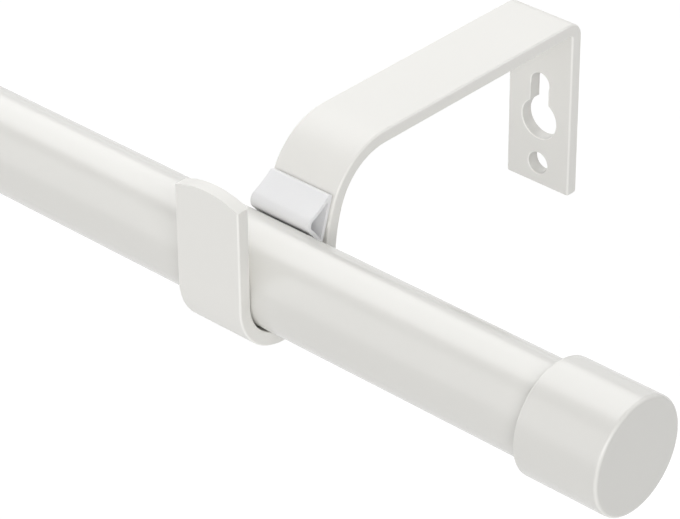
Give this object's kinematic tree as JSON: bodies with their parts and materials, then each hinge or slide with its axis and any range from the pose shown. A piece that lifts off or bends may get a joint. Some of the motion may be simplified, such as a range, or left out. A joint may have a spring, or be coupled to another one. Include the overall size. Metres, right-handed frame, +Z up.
{
  "type": "extendable curtain rod with wall brackets",
  "caption": "White telescoping curtain rod with a thin tube sliding in a wider tube, round end caps, and bent flat-strip wall brackets with keyholes and retaining clips.",
  "frame": {"origin": "centre of the right bracket's lower screw hole, on the wall plane", "axes": "+X along the rod towards the right-hand end cap, +Y into the wall, +Z up"},
  "size_m": [0.7714, 0.0977, 0.0412],
  "materials": {
    "rod_enamel": "satin warm white coating on steel tube",
    "cap_enamel": "satin warm white coating on a drawn steel cup",
    "bracket_enamel": "satin warm white powder coat on bent steel strip",
    "clip_plastic": "cooler white moulded plastic, fine matt surface",
    "white_plastic": "plain white moulded plastic"
  },
  "bodies": {
    "rod_on_brackets": {"outer_tube": "rod_enamel", "mouth_collar": "white_plastic", "right_bracket": "bracket_enamel", "left_bracket": "bracket_enamel"},
    "drawn_rod": {"inner_tube": "rod_enamel", "inner_tube_guide": "white_plastic"},
    "right_cap": {"right_end_cap": "cap_enamel", "right_cap_liner": "white_plastic"},
    "left_cap": {"left_end_cap": "cap_enamel", "left_cap_liner": "white_plastic"},
    "right_clip": {"right_bracket_clip": "clip_plastic"},
    "left_clip": {"left_bracket_clip": "clip_plastic"}
  },
  "joints": [
    {"name": "rod_extend", "type": "slide", "parent": "rod_on_brackets", "child": "drawn_rod", "axis": [-1, 0, 0], "range_m": [-0.06, 0.448]},
    {"name": "left_cap_pull", "type": "slide", "parent": "drawn_rod", "child": "left_cap", "axis": [-1, 0, 0], "range_m": [0, 0.025]},
    {"name": "right_cap_pull", "type": "slide", "parent": "rod_on_brackets", "child": "right_cap", "axis": [1, 0, 0], "range_m": [0, 0.025]},
    {"name": "right_clip_flex", "type": "hinge", "parent": "rod_on_brackets", "child": "right_clip", "pos_m": [0, -0.07306, 0.02341], "axis": [1, 0, 0], "range_deg": [0, 3], "stiffness_Nm_per_rad": 0.4},
    {"name": "left_clip_flex", "type": "hinge", "parent": "rod_on_brackets", "child": "left_clip", "pos_m": [-0.5303, -0.07306, 0.02341], "axis": [1, 0, 0], "range_deg": [0, 3], "stiffness_Nm_per_rad": 0.4}
  ]
}
